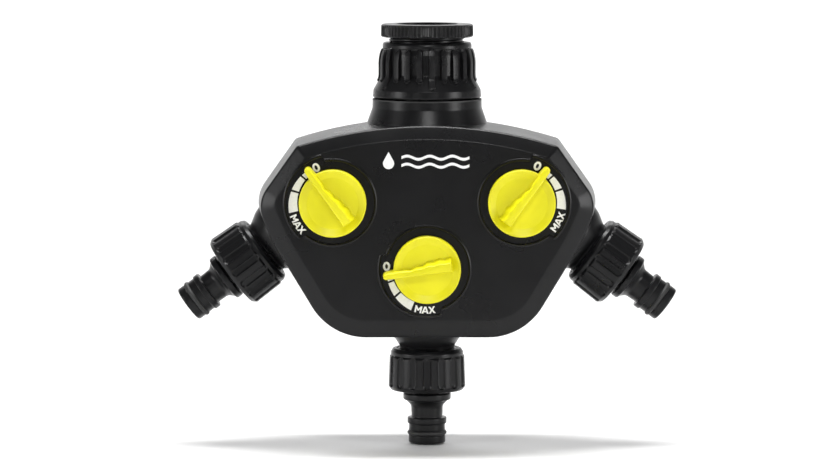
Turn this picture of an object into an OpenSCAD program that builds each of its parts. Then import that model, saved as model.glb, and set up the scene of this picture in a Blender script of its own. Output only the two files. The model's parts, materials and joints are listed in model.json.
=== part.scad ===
// Three-way garden tap distributor with quarter-turn ball valves and quick-connect spigots.
// The origin is the centre of the inlet's mouth, +Z is up along the inlet, and the knobs face -Y.

/* [Housing] */
// Radius of the arched top edge
top_arc_r = 186; // [150:1:260]
// Height of the top edge at the middle
top_z = -40.7; // [-44:0.1:-40]
// Half width of the arched top edge
shoulder_x = 57; // [54:0.5:60]
// Half width of the side corner before rounding
side_x = 77.8; // [75:0.1:80]
// Height of the side corner
side_z = -74.6; // [-77:0.1:-72]
// Half width of the bottom edge before rounding
foot_x = 42.6; // [40:0.1:45]
// Height of the bottom edge
bottom_z = -135.5; // [-138:0.1:-134]
// Depth of the front half
front_y = 30; // [29.5:0.1:30.5]
// Depth of the rear half
rear_y = 29; // [28:0.1:32]
// Thickness of the housing wall
wall = 2.5; // [2:0.1:3]

/* [Inlet] */
// Outer radius of the reducer's knurled ring
ring_r = 20; // [19:0.1:21]
// Height of the reducer's knurled ring
ring_h = 5.7; // [5:0.1:6.5]
// Number of teeth on the knurled ring
ring_teeth = 56; // [40:2:72]
// Mean radius of the one-inch thread
big_thread_r = 16.6; // [16.6:0.01:16.62]
// Mean radius of the three-quarter-inch threads
thread_r = 13.2; // [13.2:0.01:13.22]
// Radial gap on each side of a thread's mean radius
thread_gap = 0.05; // [0.03:0.01:0.05]
// Radius of the ribbed part of the swivel nut, between ribs
nut_r = 19.6; // [19.4:0.1:20]
// Radius of the swivel nut's lower rim
nut_rim_r = 23.7; // [23:0.1:24]
// Number of ribs on the swivel nut
nut_ribs = 24; // [12:4:36]

/* [Valves] */
// Height of the hub where the three branches meet
hub_z = -45.4; // [-46:0.1:-45]
// Distance of the side valves from the hub
side_reach = 50.2; // [49.5:0.1:51]
// Distance of the centre valve from the hub
centre_reach = 58.3; // [57.5:0.1:59]
// Angle between the side outlets and straight down
outlet_angle = 53.5; // [52:0.1:55]
// Radius of a valve ball
ball_r = 9; // [8.8:0.1:9.2]
// Radius of the water passage in a ball
ball_bore_r = 5; // [4:0.1:5.5]
// Radius of the spindle
spindle_r = 3.95; // [3.9:0.01:3.97]
// Radius of the hole the spindle turns in
spindle_hole_r = 4; // [4:0.01:4.02]
// Angle a knob turns through
turn = 90; // [80:1:90]

/* [Knobs] */
// Radius of a knob's round base
knob_r = 14.4; // [14:0.1:14.8]
// Distance of the pointer's tip from the knob's axis
tip_r = 19.1; // [18.5:0.1:19.4]
// Depth of a knob's rim in front of the parting plane
rim_y = 35; // [34:0.1:36]
// Depth of a knob's lever in front of the parting plane
lever_y = 39.5; // [38:0.1:40]
// Angle of the side knobs' pointers from sideways, measured on the left knob
side_pointer = 126.5; // [120:0.5:130]
// Angle of the centre knob's pointer from sideways
centre_pointer = 188; // [180:0.5:192]
// Radius of the dial pocket
pocket_r = 17.9; // [17:0.1:18]
// Radius of the dial pocket where the pointer sweeps
sweep_r = 20.2; // [19.6:0.1:20.5]
// Depth of the dial pocket
pocket_depth = 1.2; // [1:0.1:1.3]

/* [Outlets] */
// Radius of an adaptor's nut
grip_r = 16.9; // [16.5:0.1:17.2]
// Number of grooves on an adaptor's nut
grip_grooves = 16; // [12:2:24]
// Radius of the spigot's tip
tip_wall_r = 8; // [7.9:0.01:8.05]
// Radius of the spigot's bore
spigot_bore_r = 5.25; // [4.5:0.05:5.5]
// Distance of the spigot's end from the valve's axis
spigot_end = 79.2; // [79:0.1:80]

/* [Hidden] */
$fn = 64;
eps = 0.01;

// Heights down the inlet
washer_seat_z = -10.5;
reducer_end_z = -17.5;
nut_top_z = -7.9;
neck_top_z = -20;
web_top_z = -22.3;
web_low_z = -25.3;
nut_low_z = -31.8;
collar_top_z = -32.4;
collar_low_z = -43.3;
neck_r = 13;
collar_r = 23.7;
collar_foot_r = 26.2;

// Distances along an outlet from its valve's axis
seat_end = 10;
chamber_end = 20;
collar_end = 36.2;
collar_start = 26.8;
stub_end = 48.5;
nut_start = 37.4;
washer_end = 51.2;
nut_end = 55.7;
chamber_r = 13;
cavity_r = 10.5;
branch_r = 10;
branch_bore_r = 7;

// Conical collar between the housing and an outlet's thread
collar_tip_r = 12;
collar_base_r = 16.5;
collar_slope = (collar_base_r - collar_tip_r) / (collar_end - collar_start);

// Depths in front of the parting plane
pocket_floor = front_y - pocket_depth;
knob_base = pocket_floor + 0.2;
bonnet_y = 30.4;
bonnet_r = 7;
spindle_y = 34;
drive_y = 31;

// The knob's stop lug and the groove it runs in
lug_r = [9.9, 11.6];
lug_half = 8;
stop_slack = 1;

// How far the wide part of the dial pocket runs before and after the pointer's sweep
sweep_lead = 24.5;
sweep_tail = 12.5;

screw_places = [[46, -56], [24, -86], [32, -121]];
boss_r = 4;

black = [0.13, 0.13, 0.14];
grey = [0.3, 0.3, 0.32];
yellow = [0.93, 0.87, 0.1];
steel = [0.72, 0.72, 0.74];
rubber = [0.06, 0.06, 0.06];
white = [0.93, 0.93, 0.9];

SIDES = ["left", "centre", "right"];

// ---- Helpers ----

function unit(v) = v / norm(v);

// Points of an arc of radius r that rounds the corner p between a and b
function rounded(a, p, b, r, steps) =
    let (
        u = unit(a - p), v = unit(b - p), half = acos(u * v) / 2,
        centre = p + unit(u + v) * r / sin(half),
        from = p + u * r / tan(half) - centre,
        start = atan2(from[1], from[0]),
        side = -sign(cross(u, v)),
        sweep = side * (180 - 2 * half)
    )
    [for (i = [0:steps]) centre + r * [cos(start + sweep * i / steps), sin(start + sweep * i / steps)]];

// Right-hand half of the housing's outline, from the top middle to the bottom middle
function half_outline() =
    let (
        arc_z = top_z - top_arc_r,
        arc = [for (x = [0:9.5:47.5]) [x, arc_z + sqrt(pow(top_arc_r, 2) - x * x)]],
        shoulder = [shoulder_x, arc_z + sqrt(pow(top_arc_r, 2) - shoulder_x * shoulder_x)],
        side = [side_x, side_z],
        foot = [foot_x, bottom_z]
    )
    concat(
        arc,
        rounded(arc[5], shoulder, side, 3.5, 3),
        rounded(shoulder, side, foot, 25, 8),
        rounded(side, foot, [0, bottom_z], 29, 8)
    );

module outline() {
    half = half_outline();
    last = len(half) - 1;
    polygon(concat(half, [for (i = [last:-1:1]) [-half[i][0], half[i][1]]]));
}

// Draws flat shapes facing the front, so that x stays x, y becomes z and height becomes -y
module facing_front() rotate([90, 0, 0]) children();

// A thin slice of the outline at a depth, moved in and up
module slice(depth, inset, rise) {
    translate([0, rise, depth]) linear_extrude(eps) offset(delta=-inset) outline();
}

// Convex drafted half shell that ends in a bevelled face at the given depth
module half_shell(depth, inset) {
    hull() {
        slice(0, inset, 0);
        slice(depth - 4, inset + 3, 0);
        slice(depth - 1.5, inset + 5.2, 1);
        slice(depth - eps, inset + 8.6, 2);
    }
}

// Places a shape made on the Z axis at a valve, with the outlet running down
module at_outlet(side) {
    if (side == "centre") translate([0, 0, hub_z - centre_reach]) children();
    else mirror([side == "right" ? 1 : 0, 0, 0])
        translate([-side_reach * sin(outlet_angle), 0, hub_z - side_reach * cos(outlet_angle)])
            rotate([0, outlet_angle, 0]) children();
}

// Places a shape made facing up at a valve's dial, with x along the closed pointer
module at_dial(side) {
    if (side == "centre")
        translate([0, 0, hub_z - centre_reach]) facing_front() rotate([0, 0, centre_pointer]) children();
    else mirror([side == "right" ? 1 : 0, 0, 0])
        translate([-side_reach * sin(outlet_angle), 0, hub_z - side_reach * cos(outlet_angle)])
            facing_front() rotate([0, 0, side_pointer]) children();
}

// Ring about Z between two radii, from low to high
module tube(outer, inner, low, high) {
    translate([0, 0, low]) difference() {
        cylinder(r=outer, h=high - low);
        translate([0, 0, -1]) cylinder(r=inner, h=high - low + 2);
    }
}

module oring(centre_r, section_r, z) {
    translate([0, 0, z]) rotate_extrude($fn=48) translate([centre_r, 0]) circle(r=section_r, $fn=24);
}

// Round bar along -Y from one depth to another
module front_bar(r, near, far) facing_front() translate([0, 0, near]) cylinder(r=r, h=far - near);

// ---- Housing ----

// Everything that passes through the housing wall, slightly larger than the real pieces
module wall_openings() {
    translate([0, 0, collar_low_z - 0.05]) cylinder(r=collar_foot_r + 0.05, h=20);
    translate([0, 0, collar_low_z - 9]) cylinder(r=21.3, h=20);
    for (side = SIDES) at_outlet(side) translate([0, 0, -collar_end - 0.05])
        cylinder(r1=collar_tip_r + 0.05, r2=collar_tip_r + 0.05 + 16 * collar_slope, h=16);
}

module mirrored_screw_places() {
    for (place = screw_places, flip = [-1, 1])
        translate([flip * place[0], 0, place[1]]) children();
}

module front_cover() {
    color(black) difference() {
        union() {
            difference() {
                facing_front() half_shell(front_y, 0);
                facing_front() translate([0, 0, -eps]) half_shell(front_y - wall - 0.3, wall);
                wall_openings();
            }
            mirrored_screw_places() front_bar(boss_r, 0, front_y - wall - 0.2);
        }
        mirrored_screw_places() front_bar(1.6, -1, 14);
        for (side = SIDES) at_dial(side) {
            translate([0, 0, pocket_floor]) cylinder(r=pocket_r, h=5);
            translate([0, 0, pocket_floor]) rotate([0, 0, -sweep_lead])
                rotate_extrude(angle=turn + sweep_lead + sweep_tail) square([sweep_r, 5]);
            cylinder(r=bonnet_r + 0.2, h=front_y + 1);
            rotate([0, 0, -lug_half - stop_slack]) rotate_extrude(angle=turn + 2 * (lug_half + stop_slack))
                translate([lug_r[0] - 0.3, pocket_floor - 1]) square([lug_r[1] - lug_r[0] + 0.6, 3]);
        }
    }
}

module rear_cover() {
    color(black) difference() {
        union() {
            difference() {
                mirror([0, 1, 0]) facing_front() half_shell(rear_y, 0);
                mirror([0, 1, 0]) facing_front() translate([0, 0, -eps]) half_shell(rear_y - wall, wall);
                wall_openings();
            }
            mirrored_screw_places() front_bar(boss_r, wall - rear_y, 0);
        }
        mirrored_screw_places() front_bar(1.7, -rear_y - 1, 1);
        mirrored_screw_places() front_bar(3.2, -rear_y - 1, -8);
    }
}

// Six pan-head screws driven from the rear
module cover_screws() {
    color(steel) mirrored_screw_places() difference() {
        union() {
            front_bar(3, -10.4, -8);
            front_bar(1.55, -8, 13);
        }
        for (flip = [0, 90]) rotate([0, flip, 0])
            translate([-1.8, 9.2, -0.35]) cube([3.6, 2, 0.7]);
    }
}

// ---- Inlet ----

module reducer() {
    tooth = 180 / ring_teeth;
    color(black) difference() {
        union() {
            translate([0, 0, -ring_h]) linear_extrude(ring_h) polygon([
                for (i = [0:2 * ring_teeth - 1])
                    (i % 2 == 0 ? ring_r : ring_r - 0.7) * [cos(i * tooth), sin(i * tooth)]
            ]);
            translate([0, 0, reducer_end_z])
                cylinder(r=big_thread_r - thread_gap, h=-ring_h - reducer_end_z);
        }
        translate([0, 0, washer_seat_z]) cylinder(r=thread_r + thread_gap, h=20);
        translate([0, 0, washer_seat_z - 2]) cylinder(r=thread_r + 0.3, h=2);
        translate([0, 0, reducer_end_z - 1]) cylinder(r=9, h=10);
    }
}

module reducer_washer() {
    color(rubber) tube(thread_r + 0.2, 8.6, washer_seat_z - 1.95, washer_seat_z - 0.05);
}

module inlet_nut() {
    long_every = 4;
    rib_lead = -84.3;
    rib_r = 1.15;
    color(black) difference() {
        union() {
            rotate_extrude() polygon([
                [0, nut_top_z], [18.2, nut_top_z], [19.3, -8.9], [19.3, -11], [nut_r, -12.6],
                [nut_r, -24.3], [nut_rim_r, -27.8], [nut_rim_r, nut_low_z], [0, nut_low_z]
            ]);
            for (i = [0:nut_ribs - 1]) {
                is_long = i % long_every == 0;
                low = is_long ? -28.4 : -25.8;
                high = is_long ? -11.4 : -12.2;
                rotate([0, 0, i * 360 / nut_ribs + rib_lead])
                    translate([nut_r + 0.35, 0, low]) cylinder(r=rib_r, h=high - low, $fn=24);
            }
        }
        translate([0, 0, web_top_z]) cylinder(r=big_thread_r + thread_gap, h=20);
        translate([0, 0, web_low_z - 1]) cylinder(r=neck_r + 0.08, h=5);
        translate([0, 0, nut_low_z - 1]) cylinder(r=20.5, h=web_low_z - nut_low_z + 1);
    }
}

module inlet_washer() {
    color(rubber) tube(16.3, 9, neck_top_z + 0.05, reducer_end_z - 0.05);
}

// Split ring that holds the swivel nut on the neck
module inlet_retaining_ring() {
    color(steel) difference() {
        tube(15.25, 11.85, web_top_z + 0.25, neck_top_z - 0.65);
        translate([-1, 0, -30]) cube([2, 20, 20]);
    }
}

// ---- Water path ----

module at_branch(side) {
    reach = side == "centre" ? centre_reach : side_reach;
    at_outlet(side) translate([0, 0, reach]) mirror([0, 0, 1]) children();
}

module manifold_outside() {
    rotate_extrude() polygon([
        [0, neck_top_z], [neck_r, neck_top_z], [neck_r, neck_top_z - 0.6], [11.8, neck_top_z - 0.6],
        [11.8, web_top_z + 0.2], [neck_r, web_top_z + 0.2], [neck_r, web_low_z - 0.2],
        [16, web_low_z - 0.2], [16, collar_top_z], [collar_r, collar_top_z], [collar_r, -36.3],
        [collar_foot_r, collar_low_z], [21.2, collar_low_z], [21.2, -35.2], [15, -35.2],
        [15, -60], [0, -60]
    ]);
    for (side = SIDES) {
        reach = side == "centre" ? centre_reach : side_reach;
        at_branch(side) cylinder(r=branch_r, h=reach - 8);
        at_outlet(side) translate([0, 0, -chamber_end]) cylinder(r=chamber_r, h=chamber_end + 13);
        at_outlet(side) front_bar(bonnet_r, 4, bonnet_y);
    }
}

module manifold() {
    color(grey) difference() {
        manifold_outside();
        translate([0, 0, hub_z - 8]) cylinder(r=9, h=40);
        for (side = SIDES) {
            reach = side == "centre" ? centre_reach : side_reach;
            at_branch(side) cylinder(r=branch_bore_r, h=reach);
            at_outlet(side) {
                translate([0, 0, -chamber_end - 1]) cylinder(r=cavity_r, h=chamber_end + 1 + seat_end);
                front_bar(spindle_hole_r, 0, bonnet_y + 1);
                front_bar(5.7, 0, 10.7);
            }
        }
    }
}

// Conical collar and threaded stub, with the plug that holds the ball and seats in
module outlet_stub(side) {
    color(black) at_outlet(side) rotate_extrude() polygon([
        [branch_bore_r, -seat_end - 0.05], [10.45, -seat_end - 0.05], [10.45, -13.2], [8.77, -13.2],
        [8.77, -15.2], [10.45, -15.2], [10.45, -chamber_end - 0.05], [13, -chamber_end - 0.05],
        [13, -23.8], [collar_base_r, -23.8], [collar_base_r, -collar_start],
        [collar_tip_r, -collar_end], [11.9, -collar_end], [11.9, -nut_start + 0.1],
        [thread_r - thread_gap, -nut_start + 0.1], [thread_r - thread_gap, -stub_end + 0.8],
        [12.3, -stub_end], [branch_bore_r, -stub_end]
    ]);
}

module stub_oring(side) color(rubber) at_outlet(side) oring(9.62, 0.85, -14.2);

module seat(side, flip) {
    color(white) at_outlet(side) mirror([0, 0, flip]) difference() {
        tube(10.45, ball_bore_r, 5.5, seat_end);
        sphere(r=ball_r + 0.1);
    }
}

module inlet_seat(side) seat(side, 0);

module outlet_seat(side) seat(side, 1);

// The ball's passage lies across the pipe when the knob is at rest
module valve_ball(side) {
    color(steel) at_outlet(side) difference() {
        sphere(r=ball_r);
        translate([-ball_r - 1, 0, 0]) rotate([0, 90, 0]) cylinder(r=ball_bore_r, h=2 * ball_r + 2);
        translate([-ball_r, -ball_r - 1, -1.55]) cube([2 * ball_r, 3.4, 3.1]);
    }
}

// ---- Spindles and knobs ----

module drive_end(low, high) {
    facing_front() intersection() {
        translate([0, 0, low]) cylinder(r=3.3, h=high - low);
        translate([-5, -2.4, low - 1]) cube([10, 4.8, high - low + 2]);
    }
}

module valve_spindle(side) {
    color(grey) at_outlet(side) {
        difference() {
            union() {
                front_bar(5.5, 9.2, 10.5);
                front_bar(spindle_r, 10.5, drive_y);
                drive_end(drive_y, spindle_y);
                translate([-4.8, -9.2, -1.5]) cube([9.6, 2.4, 3]);
            }
            for (depth = [15, 19]) facing_front() translate([0, 0, depth - 0.6])
                tube(spindle_r + 1, 2.87, 0, 1.2);
        }
    }
}

module spindle_orings(side) {
    color(rubber) at_outlet(side) facing_front() for (depth = [15, 19]) oring(3.42, 0.55, depth);
}

// Lever outline along x: straight on one side, a wavy grip on the other
function lever_outline() = concat(
    [[-10.8, 1.6], [12, 1.6], [17.6, 1.6], [tip_r, 0], [17.6, -1.6], [11, -1.6]],
    [for (i = [0:20]) let (x = 9 - i * 0.99) [x, -1.6 - (9 - x) * 0.045 + 0.35 * cos(i * 72) - 0.35]]
);

module knob(side) {
    color(yellow) at_dial(side) difference() {
        union() {
            rotate_extrude() polygon([
                [0, knob_base], [knob_r - 0.5, knob_base], [knob_r, knob_base + 0.5],
                [knob_r, rim_y - 0.8], [knob_r - 0.8, rim_y], [10.8, rim_y - 1.6], [0, rim_y - 1.6]
            ]);
            translate([0, 0, rim_y - 2]) linear_extrude(lever_y - rim_y + 2) polygon(lever_outline());
            translate([10, -1.65, knob_base + 0.4]) cube([7.4, 3.3, rim_y - knob_base - 0.4]);
            rotate([0, 0, -lug_half]) rotate_extrude(angle=2 * lug_half)
                translate([lug_r[0], pocket_floor - 0.8]) square([lug_r[1] - lug_r[0], 2]);
        }
        translate([0, 0, knob_base - 1]) cylinder(r=bonnet_r + 0.4, h=bonnet_y + 0.3 - knob_base + 1);
        cylinder(r=spindle_r + 0.05, h=drive_y);
        rotate([0, 0, side == "centre" ? -centre_pointer : -outlet_angle - side_pointer])
            rotate([-90, 0, 0]) drive_end(drive_y - 1, spindle_y + 0.1);
    }
}

// ---- Adaptors ----

// Coupling nut and quick-connect spigot in one moulding
module adaptor(side) {
    color(black) at_outlet(side) difference() {
        rotate_extrude() polygon([
            [thread_r + thread_gap, -nut_start], [14.65, -nut_start], [15.6, -38.6], [15.75, -40.3],
            [16.45, -41], [grip_r, -53.6], [16, -nut_end], [9.45, -nut_end], [9.45, -57.1],
            [10.1, -57.1], [10.1, -60.2], [8.1, -61.2], [6.8, -62.8], [6.8, -67.8], [8.55, -67.8],
            [8.55, -70.6], [7.9, -70.6], [7.9, -73.5], [6.35, -73.5], [6.35, -75.7],
            [tip_wall_r, -75.7], [tip_wall_r, -spigot_end + 0.6], [tip_wall_r - 0.6, -spigot_end],
            [spigot_bore_r, -spigot_end], [spigot_bore_r, -washer_end],
            [thread_r + thread_gap, -washer_end]
        ]);
        for (i = [0:grip_grooves - 1]) rotate([0, 0, i * 360 / grip_grooves])
            translate([grip_r + 0.3, 0, -53]) cylinder(r=1.2, h=11.4, $fn=24);
    }
}

module adaptor_washer(side) {
    color(rubber) at_outlet(side) tube(13, 7.5, -washer_end + 0.05, -stub_end - 0.1);
}

module spigot_oring(side) color(rubber) at_outlet(side) oring(7.45, 1.1, -74.6);

// ---- Nodes ----

front_cover();
rear_cover();
cover_screws();
manifold();
inlet_nut();
inlet_retaining_ring();
inlet_washer();
reducer();
reducer_washer();
outlet_stub("left");  // left_outlet_stub
outlet_stub("centre");  // centre_outlet_stub
outlet_stub("right");  // right_outlet_stub
stub_oring("left");  // left_stub_oring
stub_oring("centre");  // centre_stub_oring
stub_oring("right");  // right_stub_oring
inlet_seat("left");  // left_inlet_seat
inlet_seat("centre");  // centre_inlet_seat
inlet_seat("right");  // right_inlet_seat
outlet_seat("left");  // left_outlet_seat
outlet_seat("centre");  // centre_outlet_seat
outlet_seat("right");  // right_outlet_seat
valve_ball("left");  // left_valve_ball
valve_ball("centre");  // centre_valve_ball
valve_ball("right");  // right_valve_ball
valve_spindle("left");  // left_valve_spindle
valve_spindle("centre");  // centre_valve_spindle
valve_spindle("right");  // right_valve_spindle
spindle_orings("left");  // left_spindle_orings
spindle_orings("centre");  // centre_spindle_orings
spindle_orings("right");  // right_spindle_orings
knob("left");  // left_knob
knob("centre");  // centre_knob
knob("right");  // right_knob
adaptor("left");  // left_adaptor
adaptor("centre");  // centre_adaptor
adaptor("right");  // right_adaptor
adaptor_washer("left");  // left_adaptor_washer
adaptor_washer("centre");  // centre_adaptor_washer
adaptor_washer("right");  // right_adaptor_washer
spigot_oring("left");  // left_spigot_oring
spigot_oring("centre");  // centre_spigot_oring
spigot_oring("right");  // right_spigot_oring
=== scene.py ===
"""Three-way garden tap distributor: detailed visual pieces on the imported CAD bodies."""

import json
import math

import bmesh
import bpy
from mathutils import Matrix, Vector


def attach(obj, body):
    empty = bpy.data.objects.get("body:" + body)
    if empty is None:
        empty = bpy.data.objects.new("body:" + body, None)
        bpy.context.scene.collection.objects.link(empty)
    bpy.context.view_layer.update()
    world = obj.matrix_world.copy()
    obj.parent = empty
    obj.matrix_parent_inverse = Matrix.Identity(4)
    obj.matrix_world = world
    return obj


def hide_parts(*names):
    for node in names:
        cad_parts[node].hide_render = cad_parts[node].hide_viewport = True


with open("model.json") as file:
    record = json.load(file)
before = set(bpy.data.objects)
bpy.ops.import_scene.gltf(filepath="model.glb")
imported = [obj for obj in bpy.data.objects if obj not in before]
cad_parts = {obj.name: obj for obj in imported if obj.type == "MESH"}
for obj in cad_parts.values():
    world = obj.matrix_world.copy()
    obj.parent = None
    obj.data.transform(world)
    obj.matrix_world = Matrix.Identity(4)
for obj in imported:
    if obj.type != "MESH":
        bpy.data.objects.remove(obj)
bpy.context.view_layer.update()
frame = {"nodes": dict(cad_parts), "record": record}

MM = 0.001
SIDES = ("left", "centre", "right")
JOINTS = {joint["name"]: joint for joint in frame["record"]["behaviour"]["joints"]}

# Depths in front of the parting plane, in millimetres
FACE = 30.0
POCKET_FLOOR = 28.8
REAR = 29.0

# Housing outline in the plane of the axes, in millimetres
ARC_RADIUS = 186.0
ARC_TOP = -40.7
SHOULDER_X = 57.0
SIDE_CORNER = (75.2, -75.4)
FLANK_CORNER = (68.2, -93.0)
FOOT_CORNER = (42.6, -135.5)
SHOULDER_R, SIDE_R, FLANK_R, FOOT_R = 3.5, 15.0, 95.0, 29.0
WALL = 2.5
BEVEL = 4.0
SCREWS = ((46, -56), (24, -86), (32, -121))

# Knobs and dials, in degrees seen from the front: closed pointer, start of the dial, and the
# way it opens
POINTER = {"left": 126.5, "centre": 188.0, "right": 53.5}
DIAL_START = {"left": 115.5, "centre": 175.3, "right": 64.5}
SWEEP = {"left": 1, "centre": 1, "right": -1}
POCKET_R = 17.9
SWEEP_R = 20.2

# Printed marks: radius, angle and lean of each zero, and how far the bars and MAX are stretched
ZERO_PLACE = {"left": (16.6, 115.2), "centre": (17.4, 176.6), "right": (17.1, 66.8)}
ZERO_LEAN = {"left": 115.5, "centre": 90.0, "right": 64.5}
DIAL_STRETCH = {"left": 4.0, "centre": -0.5, "right": -0.5}
LETTER_R = 17.8
PRINT_RISE = 0.06
PRINT_SINK = 0.05
EMBLEM_HEIGHT = -57.4

# Thread pitches and nut divisions
SMALL_PITCH = 1.814
BIG_PITCH = 2.309
INLET_RIBS = 24
GRIPS = 16
RING_TEETH = 64

SHARP_ANGLE = 32
BUMP_DISTANCE = 0.0001

# Floor: pale grey, with a darker grey painted towards the camera as painted shade, and the fade
# between them in metres along Y
FLOOR_SHADE_FADE = (-0.25, -0.7)
PALE_FLOOR = (0.86, 0.86, 0.86, 1)
# Painted shade: the darker floor grey in front of the object, so its front faces reflect less light
# from the floor
SHADED_FLOOR = (0.5, 0.5, 0.5, 1)


# ---- Materials ----

def new_material(name, colour, roughness, metallic=0.0):
    material = bpy.data.materials.new(name)
    material.use_nodes = True
    shader = material.node_tree.nodes["Principled BSDF"]
    shader.inputs["Base Color"].default_value = (*colour, 1)
    shader.inputs["Roughness"].default_value = roughness
    shader.inputs["Metallic"].default_value = metallic
    return material, shader


def object_noise(material, scale, detail):
    nodes, links = material.node_tree.nodes, material.node_tree.links
    coords = nodes.new("ShaderNodeTexCoord")
    noise = nodes.new("ShaderNodeTexNoise")
    noise.inputs["Scale"].default_value = scale
    noise.inputs["Detail"].default_value = detail
    links.new(coords.outputs["Object"], noise.inputs["Vector"])
    return noise


def add_bump(material, shader, scale, strength):
    """Fine grain of a moulded or machined surface."""
    nodes, links = material.node_tree.nodes, material.node_tree.links
    noise = object_noise(material, scale, 3)
    bump = nodes.new("ShaderNodeBump")
    bump.inputs["Strength"].default_value = strength
    bump.inputs["Distance"].default_value = BUMP_DISTANCE
    links.new(noise.outputs["Fac"], bump.inputs["Height"])
    links.new(bump.outputs["Normal"], shader.inputs["Normal"])


def vary_roughness(material, shader, scale, low, high):
    """Slow change of gloss over the surface, as handling leaves it."""
    nodes, links = material.node_tree.nodes, material.node_tree.links
    noise = object_noise(material, scale, 4)
    spread = nodes.new("ShaderNodeMapRange")
    spread.inputs["From Min"].default_value = 0.3
    spread.inputs["From Max"].default_value = 0.7
    spread.inputs["To Min"].default_value = low
    spread.inputs["To Max"].default_value = high
    links.new(noise.outputs["Fac"], spread.inputs["Value"])
    links.new(spread.outputs["Result"], shader.inputs["Roughness"])


def vary_colour(material, shader, scale, dark, light):
    """Slight mottling between two shades of the base colour."""
    nodes, links = material.node_tree.nodes, material.node_tree.links
    noise = object_noise(material, scale, 5)
    ramp = nodes.new("ShaderNodeValToRGB")
    ramp.color_ramp.elements[0].position = 0.3
    ramp.color_ramp.elements[1].position = 0.7
    ramp.color_ramp.elements[0].color = (*dark, 1)
    ramp.color_ramp.elements[1].color = (*light, 1)
    links.new(noise.outputs["Fac"], ramp.inputs["Fac"])
    links.new(ramp.outputs["Color"], shader.inputs["Base Color"])


def black_plastic():
    material, shader = new_material("black_plastic", (0.0055, 0.0055, 0.006), 0.29)
    vary_colour(material, shader, 60, (0.0048, 0.0048, 0.0052), (0.0065, 0.0065, 0.007))
    vary_roughness(material, shader, 45, 0.26, 0.32)
    add_bump(material, shader, 2600, 0.25)
    shader.inputs["Specular IOR Level"].default_value = 0.22
    return material


def inner_black_plastic():
    material, shader = new_material("inner_black_plastic", (0.012, 0.012, 0.012), 0.5)
    vary_colour(material, shader, 90, (0.010, 0.010, 0.010), (0.015, 0.015, 0.015))
    add_bump(material, shader, 1800, 0.3)
    return material


def yellow_plastic():
    material, shader = new_material("yellow_plastic", (0.72, 0.67, 0.007), 0.34)
    vary_colour(material, shader, 70, (0.68, 0.63, 0.005), (0.76, 0.71, 0.010))
    vary_roughness(material, shader, 80, 0.3, 0.42)
    add_bump(material, shader, 2400, 0.15)
    shader.inputs["Specular IOR Level"].default_value = 0.38
    return material


def white_print():
    material, shader = new_material("dial_print", (0.88, 0.88, 0.88), 0.5)
    vary_colour(material, shader, 900, (0.792, 0.792, 0.792), (0.88, 0.88, 0.88))
    add_bump(material, shader, 3000, 0.2)
    return material


def rubber():
    material, shader = new_material("rubber", (0.01, 0.01, 0.01), 0.6)
    vary_roughness(material, shader, 200, 0.5, 0.7)
    add_bump(material, shader, 2200, 0.4)
    return material


def metal(name, colour, roughness):
    material, shader = new_material(name, colour, roughness, metallic=1.0)
    vary_roughness(material, shader, 300, roughness * 0.8, roughness * 1.3)
    add_bump(material, shader, 1500, 0.15)
    return material


def seat_plastic():
    material, shader = new_material("white_plastic", (0.8, 0.8, 0.77), 0.45)
    vary_colour(material, shader, 120, (0.75, 0.75, 0.72), (0.84, 0.84, 0.81))
    add_bump(material, shader, 1500, 0.2)
    return material


BLACK = black_plastic()
INNER = inner_black_plastic()
YELLOW = yellow_plastic()
PRINT = white_print()
RUBBER = rubber()
STEEL = metal("steel", (0.6, 0.6, 0.62), 0.3)
BRASS = metal("brass", (0.72, 0.55, 0.25), 0.32)
SEAT = seat_plastic()
SLOT_MATERIALS = {
    "black_plastic": INNER, "yellow_plastic": YELLOW, "white_plastic": SEAT,
    "rubber": RUBBER, "steel": STEEL, "brass": BRASS,
}


# ---- Placing ----

def basis(x_axis, y_axis, z_axis, origin):
    matrix = Matrix.Identity(4)
    for column, axis in enumerate((x_axis, y_axis, z_axis)):
        for row in range(3):
            matrix[row][column] = axis[row]
    return Matrix.Translation(origin) @ matrix


def valve_place(side):
    return Vector(JOINTS[f"{side}_valve_turn"]["pos_m"]) / MM


def outlet_frame(side):
    """Local -Z runs along the outlet, from the valve's axis, in millimetres."""
    up = -Vector(JOINTS[f"{side}_adaptor_screw"]["axis"]).normalized()
    forward = Vector((0, 1, 0))
    return basis(forward.cross(up), forward, up, valve_place(side))


FORWARDS = basis(Vector((1, 0, 0)), Vector((0, 0, 1)), Vector((0, -1, 0)), Vector((0, 0, 0)))
BACKWARDS = basis(Vector((-1, 0, 0)), Vector((0, 0, 1)), Vector((0, 1, 0)), Vector((0, 0, 0)))


def dial_frame(side, angle=0.0):
    """Local Z faces the viewer and X runs along the angle, from the valve's axis."""
    turned = Matrix.Rotation(math.radians(angle), 4, "Z")
    return Matrix.Translation(valve_place(side)) @ FORWARDS @ turned


def screw_frame(x, z):
    """Local Z points to the rear, from the parting plane."""
    return Matrix.Translation((x, 0, z)) @ BACKWARDS


# ---- Meshes ----

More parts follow.
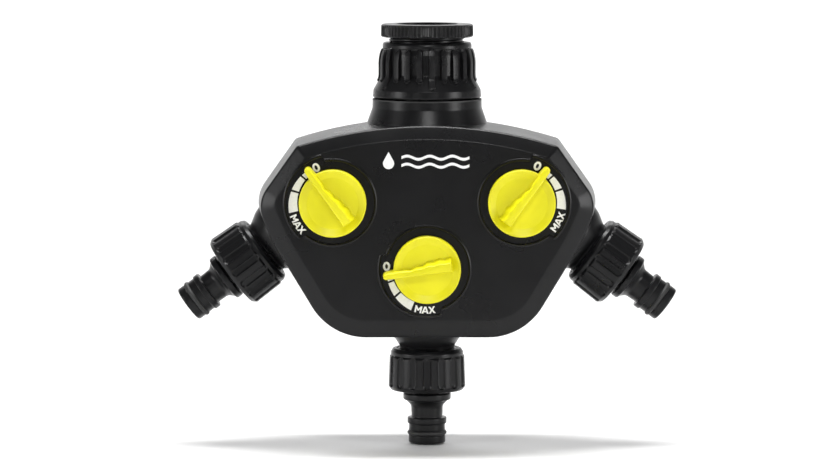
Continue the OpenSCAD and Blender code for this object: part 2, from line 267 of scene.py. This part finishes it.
class Shape:
    """Points in millimetres and faces, collected before they become one piece."""

    def __init__(self):
        self.points = []
        self.faces = []

    def add_rings(self, rings, closed_loop=False, caps=True):
        """Joins rings of equal length; closed_loop joins the last ring to the first."""
        start, count = len(self.points), len(rings[0])
        for ring in rings:
            self.points.extend(Vector(point) for point in ring)
        pairs = len(rings) if closed_loop else len(rings) - 1
        for i in range(pairs):
            low, high = start + i * count, start + (i + 1) % len(rings) * count
            for j in range(count):
                k = (j + 1) % count
                self.faces.append((low + j, low + k, high + k, high + j))
        if caps and not closed_loop:
            last = start + (len(rings) - 1) * count
            self.faces.append(tuple(reversed(range(start, start + count))))
            self.faces.append(tuple(range(last, last + count)))
        return self

    def moved(self, matrix):
        self.points = [matrix @ point for point in self.points]
        return self

    def add(self, other):
        start = len(self.points)
        self.points.extend(other.points)
        self.faces.extend(tuple(i + start for i in face) for face in other.faces)
        return self

    def build(self, name, material, sharp=SHARP_ANGLE):
        mesh = bpy.data.meshes.new(name)
        mesh.from_pydata([point * MM for point in self.points], [], self.faces)
        work = bmesh.new()
        work.from_mesh(mesh)
        bmesh.ops.recalc_face_normals(work, faces=work.faces)
        work.to_mesh(mesh)
        work.free()
        mesh.shade_smooth()
        mesh.set_sharp_from_angle(angle=math.radians(sharp))
        mesh.materials.append(material)
        piece = bpy.data.objects.new(name, mesh)
        bpy.context.scene.collection.objects.link(piece)
        return piece


def cut(piece, cutters):
    """Takes the cutters' volumes out of the piece's mesh and removes the cutters."""
    for cutter in cutters:
        modifier = piece.modifiers.new("cut", "BOOLEAN")
        modifier.operation = "DIFFERENCE"
        modifier.solver = "EXACT"
        modifier.object = cutter
    graph = bpy.context.evaluated_depsgraph_get()
    mesh = bpy.data.meshes.new_from_object(piece.evaluated_get(graph))
    piece.modifiers.clear()
    piece.data = mesh
    mesh.shade_smooth()
    mesh.set_sharp_from_angle(angle=math.radians(SHARP_ANGLE))
    for cutter in cutters:
        bpy.data.objects.remove(cutter)


def weight_normals(piece):
    modifier = piece.modifiers.new("weighted", "WEIGHTED_NORMAL")
    modifier.keep_sharp = True
    modifier.weight = 80


def finish_piece(piece, body, slot, *nodes):
    """Fixes a piece to its body, in place of the CAD nodes named."""
    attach(piece, body)
    if nodes:
        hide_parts(*nodes)


def arc_points(before, corner, after, radius, steps):
    """Points of the arc that rounds a corner of a flat outline."""
    corner = Vector(corner)
    to_before = (Vector(before) - corner).normalized()
    to_after = (Vector(after) - corner).normalized()
    half = to_before.angle(to_after) / 2
    centre = corner + (to_before + to_after).normalized() * radius / math.sin(half)
    reach = radius / math.tan(half)
    start, end = corner + to_before * reach - centre, corner + to_after * reach - centre
    begin = math.atan2(start.y, start.x)
    sweep = math.atan2(start.x * end.y - start.y * end.x, start.dot(end))
    return [
        (centre.x + radius * math.cos(begin + sweep * i / steps),
         centre.y + radius * math.sin(begin + sweep * i / steps))
        for i in range(steps + 1)
    ]


def round_outline(corners, steps=4):
    """Closed outline from (x, y, radius) corners, with each nonzero radius as an arc."""
    points = []
    for i, (x, y, radius) in enumerate(corners):
        if radius:
            before, after = corners[i - 1][:2], corners[(i + 1) % len(corners)][:2]
            points.extend(arc_points(before, (x, y), after, radius, steps))
        else:
            points.append((x, y))
    return points


def fill(points, step):
    """Adds points so that no stretch of a closed outline is longer than step."""
    result = []
    for i, point in enumerate(points):
        after = points[(i + 1) % len(points)]
        length = math.dist(point, after)
        count = max(1, math.ceil(length / step))
        for k in range(count):
            share = k / count
            result.append((point[0] + (after[0] - point[0]) * share,
                           point[1] + (after[1] - point[1]) * share))
    return result


def even_angles(count):
    return [2 * math.pi * i / count for i in range(count)]


def lathe(profile, angles, radius=None):
    """Turns a closed (r, z) outline about Z; radius(r, z, angle) may reshape it."""
    shape = radius or (lambda r, z, angle: r)
    rings = []
    for angle in angles:
        ring = []
        for r, z in profile:
            real = shape(r, z, angle)
            ring.append((real * math.cos(angle), real * math.sin(angle), z))
        rings.append(ring)
    return Shape().add_rings(rings, closed_loop=True)


def smooth_step(value):
    value = min(1.0, max(0.0, value))
    return value * value * (3 - 2 * value)


def disc_solid(radius, low, high, segments=96):
    ring = [(radius * math.cos(a), radius * math.sin(a)) for a in even_angles(segments)]
    return Shape().add_rings([[(x, y, z) for x, y in ring] for z in (low, high)])


def thread_depth(z, angle, pitch, depth):
    """How far a helical thread's groove cuts in at a height and angle."""
    turn = (z / pitch - angle / (2 * math.pi)) % 1.0
    flank = abs(2 * turn - 1)
    return depth * smooth_step((flank - 0.25) / 0.5)


# ---- Housing ----

def half_outline(inset, rise):
    """Right-hand half of the housing's outline, moved in by inset and up by rise."""
    radius, centre_z = ARC_RADIUS - inset, ARC_TOP - ARC_RADIUS
    shoulder = Vector((SHOULDER_X, centre_z + math.sqrt(ARC_RADIUS**2 - SHOULDER_X**2)))
    side, flank, foot = Vector(SIDE_CORNER), Vector(FLANK_CORNER), Vector(FOOT_CORNER)

    def moved_line(start, end):
        along = (end - start).normalized()
        inward = Vector((along.y, -along.x))
        return start + inward * inset, along

    def meeting(first, second):
        (p, u), (q, v) = first, second
        share = ((q.x - p.x) * v.y - (q.y - p.y) * v.x) / (u.x * v.y - u.y * v.x)
        return p + u * share

    upper, middle = moved_line(shoulder, side), moved_line(side, flank)
    lower = moved_line(flank, foot)
    base = (Vector((0, FOOT_CORNER[1] + inset)), Vector((1, 0)))
    start, along = upper
    gap = start - Vector((0, centre_z))
    lean = gap.dot(along)
    top = start + along * (-lean - math.sqrt(lean**2 - gap.length_squared + radius**2))
    side, flank, foot = meeting(upper, middle), meeting(middle, lower), meeting(lower, base)
    tangent = top + Vector((-(top.y - centre_z), top.x)).normalized() * 9
    corner = arc_points(tangent, top, side, SHOULDER_R - 0.2 * inset, 6)
    steps = 14
    arc = [(x, centre_z + math.sqrt(radius**2 - x**2))
           for x in (corner[0][0] * i / steps for i in range(steps))]
    points = arc + corner
    points += arc_points(top, side, flank, SIDE_R - inset, 12)
    points += arc_points(side, flank, foot, FLANK_R - inset, 6)
    points += arc_points(flank, foot, (0, foot.y), FOOT_R - inset, steps)
    return [(x, y + rise) for x, y in points] + [(0.0, foot.y + rise)]


def full_outline(inset, rise):
    half = half_outline(inset, rise)
    return half + [(-x, y) for x, y in reversed(half[1:-1])]


def edge_levels(depth, inset):
    """Depth, inset and rise up the drafted wall, over the bevel and on to the face."""
    wall_inset, face_inset, rise = inset + 1.9, inset + 8.6, 0.9
    foot = depth - BEVEL
    bevel_curve = ((0.0, 0.0), (0.05, 0.12), (0.13, 0.22), (0.5, 0.58), (0.82, 0.87), (0.9, 0.94),
                   (0.96, 0.98), (1.0, 1.0))
    levels = [(0.0, inset + 0.35, 0.0), (0.35, inset + 0.04, 0.0),
              (foot - 1.0, wall_inset - 0.1, 0.0)]
    for share, lift in bevel_curve:
        across = wall_inset + (face_inset - wall_inset) * share
        levels.append((foot + BEVEL * lift, across, rise * share))
    levels.append((depth, face_inset + 0.5, rise))
    return levels


def shell(depth):
    """Hollow half of the housing that faces +Z, with its wall's thickness."""
    outer = edge_levels(depth, 0.0)
    inner = [(0.0, WALL, 0.0)] + edge_levels(depth - WALL, WALL)[2:]
    rings = [[(x, y, z) for x, y in full_outline(inset, rise)]
             for z, inset, rise in list(reversed(outer)) + inner]
    return Shape().add_rings(rings)


def pocket_rings(side, levels):
    """Rings around a dial pocket, wider where the pointer sweeps, at each depth and growth."""
    start = DIAL_START[side]

    def radius(angle):
        turn = (SWEEP[side] * (math.degrees(angle) - start) + 180) % 360 - 180
        wide = smooth_step((turn + 15.5) / 4) * smooth_step((115.5 - turn) / 4)
        return POCKET_R + (SWEEP_R - POCKET_R) * wide

    return [
        [((radius(a) + grow) * math.cos(a), (radius(a) + grow) * math.sin(a), depth)
         for a in even_angles(240)]
        for depth, grow in levels
    ]


def pocket_cutter(side):
    levels = [(POCKET_FLOOR, -0.3), (POCKET_FLOOR + 0.1, -0.08), (POCKET_FLOOR + 0.3, 0.0),
              (FACE - 0.2, 0.0), (FACE + 2, 0.0)]
    shape = Shape().add_rings(pocket_rings(side, levels))
    return shape.moved(dial_frame(side)).build(f"pocket_{side}", BLACK)


def make_pocket_rim(side):
    """Fine raised bead around a dial pocket."""
    bead = [(-0.4, 1.25), (0.0, 1.25), (0.25, 1.0), (0.46, 0.62), (0.48, 0.4), (0.32, 0.1),
            (0.0, 0.0), (-0.4, 0.0)]
    levels = [(FACE + lift, grow) for lift, grow in bead]
    shape = Shape().add_rings(pocket_rings(side, levels), closed_loop=True)
    piece = shape.moved(dial_frame(side)).build(f"{side}_pocket_rim", BLACK, 12)
    finish_piece(piece, "housing", "black_plastic")


def wall_cutters():
    """Openings of both covers for the inlet collar and the outlets."""
    cutters = [disc_solid(26.0, -46, -20).build("collar_cut", BLACK)]
    for side in SIDES:
        shape = disc_solid(13.2, -40, -20).moved(outlet_frame(side))
        cutters.append(shape.build(f"outlet_cut_{side}", BLACK))
    return cutters


def make_front_cover():
    piece = shell(FACE).moved(FORWARDS).build("front_cover_shell", BLACK)
    cutters = wall_cutters()
    for side in SIDES:
        cutters.append(pocket_cutter(side))
        bonnet = disc_solid(7.2, 20, 32).moved(dial_frame(side))
        cutters.append(bonnet.build(f"bonnet_cut_{side}", BLACK))
    cut(piece, cutters)
    weight_normals(piece)
    finish_piece(piece, "housing", "black_plastic", "front_cover")


def make_rear_cover():
    piece = shell(REAR).moved(BACKWARDS).build("rear_cover_shell", BLACK)
    cutters = wall_cutters()
    places = [(sign * x, z) for x, z in SCREWS for sign in (-1, 1)]
    for i, (x, z) in enumerate(places):
        head = disc_solid(3.3, 20, 32, 48).moved(screw_frame(x, z))
        cutters.append(head.build(f"screw_cut_{i}", BLACK))
    cut(piece, cutters)
    weight_normals(piece)
    finish_piece(piece, "housing", "black_plastic", "rear_cover")
    boss = round_outline([
        (1.7, 0.5, 0), (4.2, 0.5, 0), (4.2, 28, 0), (3.4, REAR, 0.3), (3.1, REAR - 0.4, 0.2),
        (3.1, 8, 0.2), (1.7, 8, 0)], 3)
    bosses = Shape()
    for x, z in places:
        bosses.add(lathe(boss, even_angles(48)).moved(screw_frame(x, z)))
    finish_piece(bosses.build("rear_cover_bosses", BLACK), "housing", "black_plastic")


# ---- Inlet ----

def make_reducer():
    tooth = 2 * math.pi / RING_TEETH

    def knurl(r, z, angle):
        if r < 18:
            return r
        share = min(1.0, max(0.0, (-0.5 - z) / 0.5)) * min(1.0, max(0.0, (z + 5.3) / 0.5))
        part = angle / tooth % 1.0
        groove = min(1.0, max(0.0, 1.1 - 2.4 * abs(part - 0.5)))
        return r - 0.5 * share * groove

    ring = round_outline([(13.25, 0, 0.3), (19.9, 0, 0.9), (20.0, -5.7, 0.8), (13.25, -5.7, 0)])
    ring = fill(ring, 0.8)
    shape = lathe(ring, even_angles(RING_TEETH * 16), knurl)

    def threads(r, z, angle):
        if r > 16:
            return r - thread_depth(z, angle, BIG_PITCH, 1.1) * smooth_step((z + 17.3) / 1.5)
        if 13 < r < 13.4 and z > -10.4:
            return r + thread_depth(z, angle, SMALL_PITCH, 0.8) * smooth_step((-0.6 - z) / 1.5)
        return r

    sleeve = fill([
        (13.25, -0.05), (13.25, -10.5), (13.5, -10.5), (13.5, -12.5), (9, -12.5), (9, -17.5),
        (15.9, -17.5), (16.55, -16.9), (16.55, -5.6), (14.5, -5.6), (14.5, -0.05)], 0.24)
    shape.add(lathe(sleeve, even_angles(112), threads))
    piece = shape.build("reducer_ring_and_thread", BLACK, 22)
    finish_piece(piece, "reducer", "black_plastic", "reducer")


def make_inlet_nut():
    pitch = 2 * math.pi / INLET_RIBS
    lead = math.radians(-84.3)
    root, half_width, slope = 19.6, 1.3, 0.3
    offsets = (-1.6, -1.45, -1.3, -1.15, -1.0, -0.5, 0.0, 0.5, 1.0, 1.15, 1.3, 1.45, 1.6)
    angles = []
    for i in range(INLET_RIBS):
        middle = lead + i * pitch
        angles += [middle + offset / root for offset in offsets]
        gap = pitch - 2 * offsets[-1] / root
        angles += [middle + offsets[-1] / root + gap * share for share in (0.33, 0.67)]

    def ribs(r, z, angle):
        if r < 18.5 or z > -9.5 or z < -29:
            return r
        index = round((angle - lead) / pitch)
        offset = abs(angle - lead - index * pitch) * root
        is_long = index % 4 == 0
        top, foot = (-9.9, -27.4) if is_long else (-10.7, -24.6)
        beyond = max(0.0, z - (top - half_width), foot + half_width - z)
        lift = smooth_step((half_width - math.hypot(offset, beyond)) / slope + 0.5)
        level, skirt = 21.1 - 0.035 * max(0.0, z + 17) ** 2, r + 0.75
        crest = (level + skirt + math.sqrt((level - skirt) ** 2 + 0.2)) / 2
        return r + (crest - r) * lift

    outline = round_outline([
        (16.65, -7.9, 0.2), (18.9, -7.9, 0.7), (19.3, -9.0, 0.4), (19.3, -10.3, 0.3),
        (19.0, -10.8, 0.4), (root, -13.0, 1.0), (root, -21.7, 1.0), (23.3, -28.4, 0.8),
        (23.6, -31.8, 0.7), (20.5, -31.8, 0.2), (20.5, -25.3, 0), (13.1, -25.3, 0),
        (13.1, -22.3, 0), (16.65, -22.3, 0)])
    shape = lathe(fill(outline, 0.4), angles, ribs)
    piece = shape.build("inlet_nut_ribbed", BLACK, 30)
    finish_piece(piece, "inlet_nut", "black_plastic", "inlet_nut")


def make_collar():
    """Flared collar around the neck of the manifold, whose CAD node still shows inside."""
    outline = round_outline([
        (13.2, -32.4, 0), (23.7, -32.4, 0.7), (23.75, -36.2, 3.0), (26.2, -43.2, 2.5),
        (26.2, -46.5, 0.3), (20, -46.5, 0), (20, -35.2, 0), (13.2, -35.2, 0)], 5)
    shape = lathe(fill(outline, 1.2), even_angles(144))
    finish_piece(shape.build("inlet_collar", BLACK), "housing", "black_plastic")


# ---- Outlets ----

def make_outlet_stub(side):
    def threads(r, z, angle):
        if r > 12.6 and z < -37.4:
            return r - thread_depth(z, angle, SMALL_PITCH, 0.9)
        return r

    outline = round_outline([
        (7, -10.1, 0), (10.4, -10.1, 0.3), (10.4, -20.1, 0), (13, -20.1, 0), (13, -23.5, 0),
        (16.9, -23.5, 0.3), (16.9, -26.2, 0.3), (15.0, -31.6, 12), (12.1, -36.2, 0.3),
        (11.9, -37.3, 0), (13.15, -37.5, 0.2), (13.15, -47.9, 0.2), (12.3, -48.5, 0.2),
        (7, -48.5, 0.3)])
    shape = lathe(fill(outline, 0.3), even_angles(96), threads).moved(outlet_frame(side))
    piece = shape.build(f"{side}_outlet_collar_and_thread", BLACK)
    finish_piece(piece, "housing", "black_plastic", f"{side}_outlet_stub")


def make_adaptor(side):
    pitch = 2 * math.pi / GRIPS
    half_groove = 1.95

    def grips(r, z, angle):
        if r > 15 and -54.6 < z < -39.6:
            offset = abs((angle + pitch / 2) % pitch - pitch / 2) * 16.6
            beyond = max(0.0, z + 42.2, -52.4 - z)
            near = math.hypot(offset, beyond)
            return r - 0.8 * smooth_step((half_groove - near) / 0.7)
        if 9.3 < r < 9.6 and -57 < z < -55.8:
            quarter = abs((angle + math.pi / 4) % (math.pi / 2) - math.pi / 4)
            return r - 1.6 * smooth_step((0.6 - quarter) / 0.08)
        return r

    outline = round_outline([
        (13.25, -37.4, 0.2), (14.8, -37.4, 0.9), (15.75, -39.0, 0.8), (15.8, -40.4, 0.3),
        (16.45, -41.2, 0.4), (16.9, -54.0, 1.2), (15.6, -55.7, 0.8), (9.45, -55.7, 0.2),
        (9.45, -57.1, 0.15), (10.4, -57.1, 0.6), (10.4, -59.9, 0.7), (9.0, -60.5, 0.2),
        (7.0, -62.6, 2.4), (6.8, -67.8, 0.3), (8.55, -67.8, 0.5), (8.55, -70.6, 0.5),
        (7.9, -70.6, 0.1), (7.9, -73.5, 0.2), (6.35, -73.5, 0), (6.35, -75.7, 0),
        (8.0, -75.7, 0.2), (8.0, -79.2, 0.9), (5.25, -79.2, 0.4), (5.25, -51.2, 0),
        (13.25, -51.2, 0)])
    shape = lathe(fill(outline, 0.5), even_angles(GRIPS * 14), grips).moved(outlet_frame(side))
    piece = shape.build(f"{side}_adaptor_nut_and_spigot", BLACK)
    finish_piece(piece, f"{side}_adaptor", "black_plastic", f"{side}_adaptor")


# ---- Knobs ----

def lever_outline(inset, flank):
    """Lever seen from above, along +X: straight on one side, a wavy sloping grip on the other."""
    tail, tip, half, nose, nose_reach = -10.8, 19.1, 1.6, 17.5, 1.6
    turns = [math.pi / 2 * i / 5 for i in range(6)]
    upper = [(tail + inset, half + 0.3 - inset), (0.0, half + 0.15 - inset), (12.0, half - inset)]
    upper += [(nose - 0.3 * inset + nose_reach * math.sin(a), (half - inset) * math.cos(a))
              for a in turns[:-1]]
    lower = [(tip - inset, 0.0)]
    lower += [(nose - 0.3 * inset + nose_reach * math.cos(a), -(half - inset) * math.sin(a))
              for a in turns[1:]]
    start, waves, steps = 9.5, 4, 48
    for i in range(steps + 1):
        share = i / steps
        x = start + (tail + inset - start) * share
        spread = (1.1 + 1.9 * flank) * smooth_step(share * 1.3)
        wave = (0.3 + 0.3 * flank) * math.sin(math.pi * waves * share) ** 2
        lower.append((x, -(half - inset + spread - wave)))
    return upper + lower


def make_knob(side):
    body = round_outline([
        (4.0, 29.0, 0), (13.9, 29.0, 0.4), (14.4, 29.6, 0.3), (14.4, 35.2, 0.4), (14.0, 35.6, 0.35),
        (11.0, 34.2, 0.6), (0.5, 34.12, 0), (0.5, 31.5, 0), (4.0, 31.5, 0)])
    shape = lathe(fill(body, 1.2), even_angles(144))
    levels = [(33.2, 0.0, 1.0), (34.1, 0.0, 1.0), (38.3, 0.2, 0.0)]
    levels += [(38.5 + 0.95 * math.sin(a), 0.22 + 0.6 * (1 - math.cos(a)), 0.0)
               for a in (math.pi / 2 * i / 5 for i in range(6))]
    lever = Shape().add_rings([
        [(x, SWEEP[side] * y, z) for x, y in lever_outline(inset, flank)]
        for z, inset, flank in levels])
    pointer_levels = [(29.5, 0.3), (29.9, 0.05), (34.0, 0.0)]
    pointer = Shape().add_rings([
        [(x, y, z) for x, y in pointer_outline(inset)] for z, inset in pointer_levels])
    shape.add(lever).add(pointer)
    shape.moved(dial_frame(side, POINTER[side]))
    piece = shape.build(f"{side}_knob_with_lever", YELLOW, 38)
    finish_piece(piece, f"{side}_valve", "yellow_plastic", f"{side}_knob")


def pointer_outline(inset):
    """Nose of the knob under the lever, wider at its root."""
    root, neck, end, width = 12.5, 14.6, 17.45, 1.62 - inset
    nose = [(end + (width + 0.02) * math.sin(a), width * math.cos(a))
            for a in (math.pi * i / 10 for i in range(11))]
    left = [(root, 2.6 - inset), (neck, 1.9 - inset)]
    right = [(neck, inset - 1.9), (root, inset - 2.6)]
    return left + nose + right


# ---- Printed marks ----

def flat_patch(shape, outline, low, high):
    """Adds a thin raised patch with the given outline."""
    shape.add(Shape().add_rings([[(x, y, z) for x, y in outline] for z in (low, high)]))


def polar(radius, degrees):
    angle = math.radians(degrees)
    return radius * math.cos(angle), radius * math.sin(angle)


def add_zero(shape, side, low, high):
    """Printed zero: an oval ring, leaned to the side's angle."""
    half_long, half_short, width = 2.0, 1.55, 0.95
    middle_x, middle_y = polar(*ZERO_PLACE[side])
    lean = math.radians(ZERO_LEAN[side])
    cos_lean, sin_lean = math.cos(lean), math.sin(lean)
    rings = []
    for grow, z in ((0, low), (0, high), (-width, high), (-width, low)):
        ring = []
        for a in even_angles(40):
            u, v = (half_long + grow) * math.cos(a), (half_short + grow) * math.sin(a)
            ring.append((middle_x + u * cos_lean - v * sin_lean,
                         middle_y + u * sin_lean + v * cos_lean, z))
        rings.append(ring)
    shape.add(Shape().add_rings(rings, closed_loop=True))


# Outlines of each letter, 3 mm tall and upright; the A is made of two mirrored halves
LETTERS = {
    "M": [[(-1.5, -1.5), (-1.5, 1.5), (-0.85, 1.5), (0.0, 0.15), (0.85, 1.5), (1.5, 1.5),
           (1.5, -1.5), (0.78, -1.5), (0.78, 0.3), (0.25, -0.6), (-0.25, -0.6), (-0.78, 0.3),
           (-0.78, -1.5)]],
    "A": [[(0.0, 1.5), (sign * 0.42, 1.5), (sign * 1.55, -1.5), (sign * 0.8, -1.5),
           (sign * 0.58, -0.92), (0.0, -0.92), (0.0, -0.32), (sign * 0.38, -0.32), (0.0, 0.7)]
          for sign in (1, -1)],
    "X": [[(-1.5, 1.5), (-0.66, 1.5), (0.0, 0.5), (0.66, 1.5), (1.5, 1.5), (0.47, 0.0),
           (1.5, -1.5), (0.66, -1.5), (0.0, -0.5), (-0.66, -1.5), (-1.5, -1.5), (-0.47, 0.0)]],
}


def dial_letter(shape, letter, degrees, low, high):
    """One letter on the dial's arc, with its top towards the knob."""
    middle = Vector(polar(LETTER_R, degrees))
    up = -middle.normalized()
    right = Vector((-middle.y, middle.x)).normalized()
    for outline in LETTERS[letter]:
        flat_patch(shape, [tuple(middle + right * x + up * y) for x, y in outline], low, high)


def make_dial_marks(side):
    """Zero, three widening bars and MAX, printed on the floor of a dial pocket."""
    low, high = POCKET_FLOOR - PRINT_SINK, POCKET_FLOOR + PRINT_RISE
    start, sweep, stretch = DIAL_START[side], SWEEP[side], DIAL_STRETCH[side]
    inner_r, outer_r, widening, steps = 15.2, 17.4, 1.75 / 60, 12
    bars = ((14, 22.5), (25.2, 44.5 + stretch / 2), (47.5 + stretch / 2, 74 + stretch))
    shape = Shape()
    add_zero(shape, side, low, high)
    for first, last in bars:
        inner, outer = [], []
        for i in range(steps + 1):
            at = first + (last - first) * i / steps
            inner.append(polar(inner_r, start + sweep * at))
            outer.append(polar(outer_r + widening * (at - bars[0][0]), start + sweep * at))
        flat_patch(shape, inner + outer[::-1], low, high)
    middle = start + sweep * (92.5 + stretch)
    for letter, shift in (("M", -9.6), ("A", 0.0), ("X", 9.2)):
        dial_letter(shape, letter, middle + shift, low, high)
    shape.moved(dial_frame(side))
    finish_piece(shape.build(f"{side}_dial_marks", PRINT), "housing", "white_plastic")


def make_emblem():
    """Generic water mark: a drop and two waves, above the middle of the front face."""
    low, high = FACE - PRINT_SINK, FACE + PRINT_RISE
    shape = Shape()
    drop_x, drop_r = -16.5, 2.4
    drop = [(drop_x, EMBLEM_HEIGHT + 4.0)]
    drop += [(drop_x + drop_r * math.cos(a), EMBLEM_HEIGHT - 1.0 + drop_r * math.sin(a))
             for a in (math.radians(28 - 236 * i / 20) for i in range(21))]
    flat_patch(shape, drop, low, high)
    wave_x, wave_length, waves, steps = -11, 29, 3, 60
    for rise in (1.5, -1.9):
        wave = [(wave_x + wave_length * i / steps,
                 EMBLEM_HEIGHT + rise + 0.7 * math.sin(2 * math.pi * waves * i / steps))
                for i in range(steps + 1)]
        outline = [(x, y + 0.6) for x, y in wave] + [(x, y - 0.6) for x, y in reversed(wave)]
        flat_patch(shape, outline, low, high)
    finish_piece(shape.moved(FORWARDS).build("front_emblem", PRINT), "housing", "white_plastic")


# ---- Scene ----

def make_pieces():
    make_front_cover()
    make_rear_cover()
    make_reducer()
    make_inlet_nut()
    make_collar()
    for side in SIDES:
        make_outlet_stub(side)
        make_adaptor(side)
        make_knob(side)
        make_pocket_rim(side)
        make_dial_marks(side)
    make_emblem()


def dress_cad_nodes():
    """Gives every CAD node that still shows the material of its slot."""
    slots = {entry["node"]: entry["material_slot"] for entry in frame["record"]["subparts"]}
    for name, node in frame["nodes"].items():
        node.data.materials.clear()
        node.data.materials.append(SLOT_MATERIALS[slots[name]])


def make_floor():
    """Pale round floor that curves up into a low wall far around the object."""
    low, inner, edge, bend, top = -183.3, 400.0, 2900.0, 500.0, 1300.0
    profile = [(inner, low), (edge, low)]
    profile += [(edge + bend * math.sin(a), low + bend * (1 - math.cos(a)))
                for a in (math.pi / 2 * i / 16 for i in range(1, 17))]
    profile.append((edge + bend, top))
    turns = even_angles(96)
    rings = [[(r * math.cos(a), r * math.sin(a), z) for a in turns] for r, z in profile]
    shape = Shape().add_rings(rings, caps=False)
    shape.faces.append(tuple(range(len(turns))))
    shape.build("floor", floor_material(), 80)


def floor_material():
    """Pale grey that darkens towards the camera: painted shade in front of the object, so that its
    front faces reflect less of the floor.
    """
    material, shader = new_material("floor", PALE_FLOOR[:3], 0.9)
    nodes, links = material.node_tree.nodes, material.node_tree.links
    place = nodes.new("ShaderNodeSeparateXYZ")
    links.new(nodes.new("ShaderNodeTexCoord").outputs["Object"], place.inputs["Vector"])
    fade = nodes.new("ShaderNodeMapRange")
    fade.inputs["From Min"].default_value, fade.inputs["From Max"].default_value = FLOOR_SHADE_FADE
    links.new(place.outputs["Y"], fade.inputs["Value"])
    # Painted shade: the mix turns the pale grey into the darker grey towards the camera, standing
    # in for the floor lying in shade there
    shade = nodes.new("ShaderNodeMix")
    shade.data_type = "RGBA"
    shade.inputs["A"].default_value = PALE_FLOOR
    shade.inputs["B"].default_value = SHADED_FLOOR
    links.new(fade.outputs["Result"], shade.inputs["Factor"])
    links.new(shade.outputs["Result"], shader.inputs["Base Color"])
    return material


def aim(thing, place, target):
    """Puts a light or camera at a place in millimetres and points it at the target."""
    thing.location = Vector(place) * MM
    direction = (Vector(target) - Vector(place)).normalized()
    thing.rotation_euler = direction.to_track_quat("-Z", "Y").to_euler()


def add_light(name, place, target, size, power):
    light = bpy.data.lights.new(name, "AREA")
    light.shape = "RECTANGLE"
    light.size, light.size_y = size[0] * MM, size[1] * MM
    light.energy = power
    thing = bpy.data.objects.new(name, light)
    bpy.context.scene.collection.objects.link(thing)
    aim(thing, place, target)


def make_lights():
    """Soft boxes and strips aimed at the object, and one light on the floor's far wall."""
    middle = (0, 0, -90)
    add_light("top_softbox", (0, 40, 1000), middle, (900, 200), 17)
    add_light("front_key", (60, -1250, 800), middle, (380, 200), 5.6)
    add_light("right_strip", (1150, -640, 0), middle, (360, 900), 10)
    add_light("left_strip", (-1150, -560, 40), middle, (360, 900), 7.5)
    add_light("right_front_strip", (430, -1400, -100), middle, (110, 700), 1.2)
    add_light("left_front_strip", (-520, -1370, -100), middle, (110, 700), 1.1)
    add_light("backdrop_light", (0, 2250, 1600), (0, 2350, -180), (3200, 1200), 60)
    world = bpy.data.worlds.new("studio")
    world.use_nodes = True
    background = world.node_tree.nodes["Background"]
    background.inputs["Color"].default_value = (1, 1, 1, 1)
    background.inputs["Strength"].default_value = 0.06
    bpy.context.scene.world = world
    bpy.context.scene.view_settings.view_transform = "Standard"


def make_camera():
    """Long lens in front of the object and a little above it, aimed at its middle."""
    data = bpy.data.cameras.new("camera")
    data.sensor_width = 36.0
    data.lens = 168.6
    data.clip_end = 20
    camera = bpy.data.objects.new("camera", data)
    bpy.context.scene.collection.objects.link(camera)
    aim(camera, (-3.5, -1700, 70), (-3.5, 0, -92.1))
    bpy.context.scene.camera = camera


make_camera()
make_pieces()
dress_cad_nodes()
make_floor()
make_lights()
